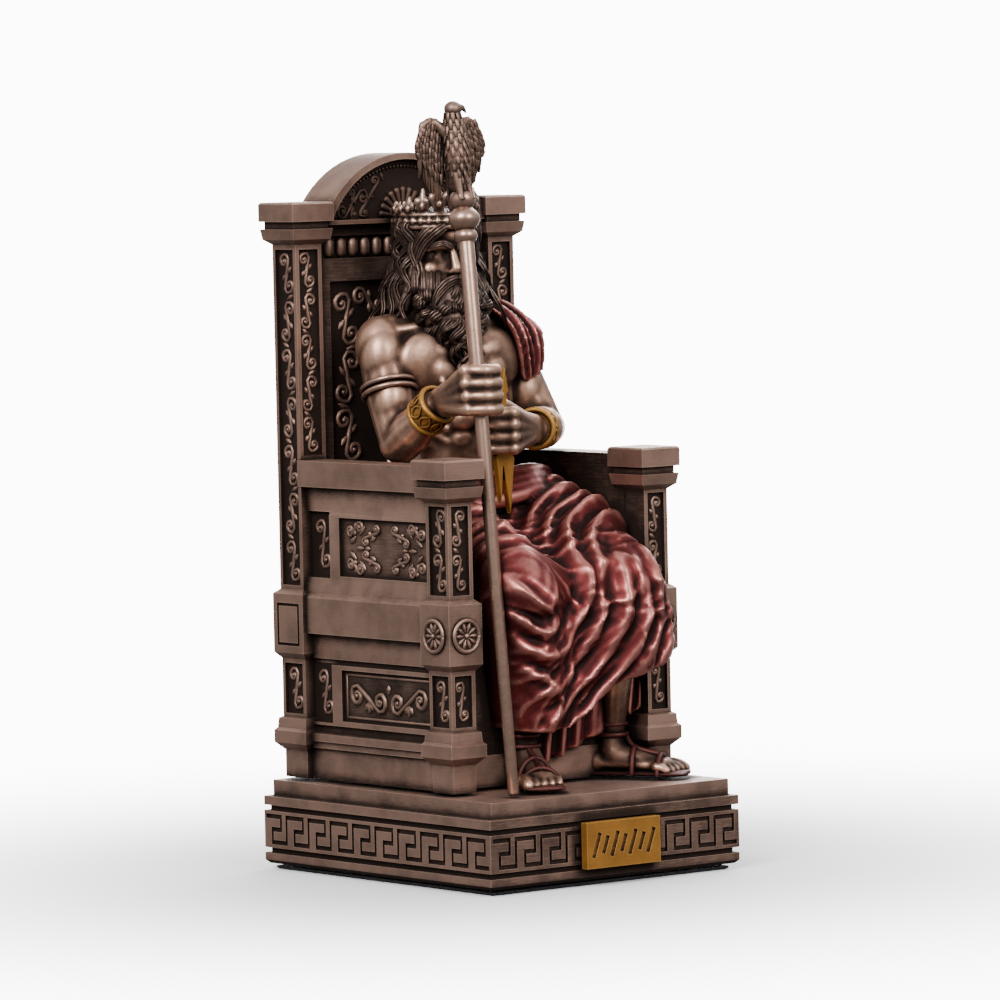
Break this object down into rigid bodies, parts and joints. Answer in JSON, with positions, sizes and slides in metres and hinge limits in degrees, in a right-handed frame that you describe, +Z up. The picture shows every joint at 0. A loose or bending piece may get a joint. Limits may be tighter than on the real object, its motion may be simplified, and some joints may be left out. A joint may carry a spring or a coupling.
{
  "type": "seated thunder god statuette",
  "caption": "Small cast resin statuette of a bearded thunder god in a draped robe on a panelled throne, with a tall eagle sceptre and a thunderbolt, on a moulded plinth with a key band.",
  "frame": {"origin": "centre of the felt pad's underside, which is the middle of the plinth", "axes": "+Z up, -Y the way the statue faces, +X towards the statue's left hand"},
  "size_m": [0.036, 0.0435, 0.0881],
  "materials": {
    "bronze": "cold cast bronze resin with a dark wash in the recesses and rubbed metallic edges",
    "skin_and_robe": "cold cast bronze resin, rubbed bright on the skin and stained dark red on the robe",
    "gold_paint": "hand-brushed gold paint with a dark wash",
    "felt": "black felt"
  },
  "bodies": {
    "root": {"felt_pad": "felt", "plinth": "bronze", "name_plaque": "gold_paint", "throne": "bronze", "figure": "skin_and_robe", "eagle_sceptre": "bronze", "thunderbolt": "gold_paint"}
  },
  "joints": []
}
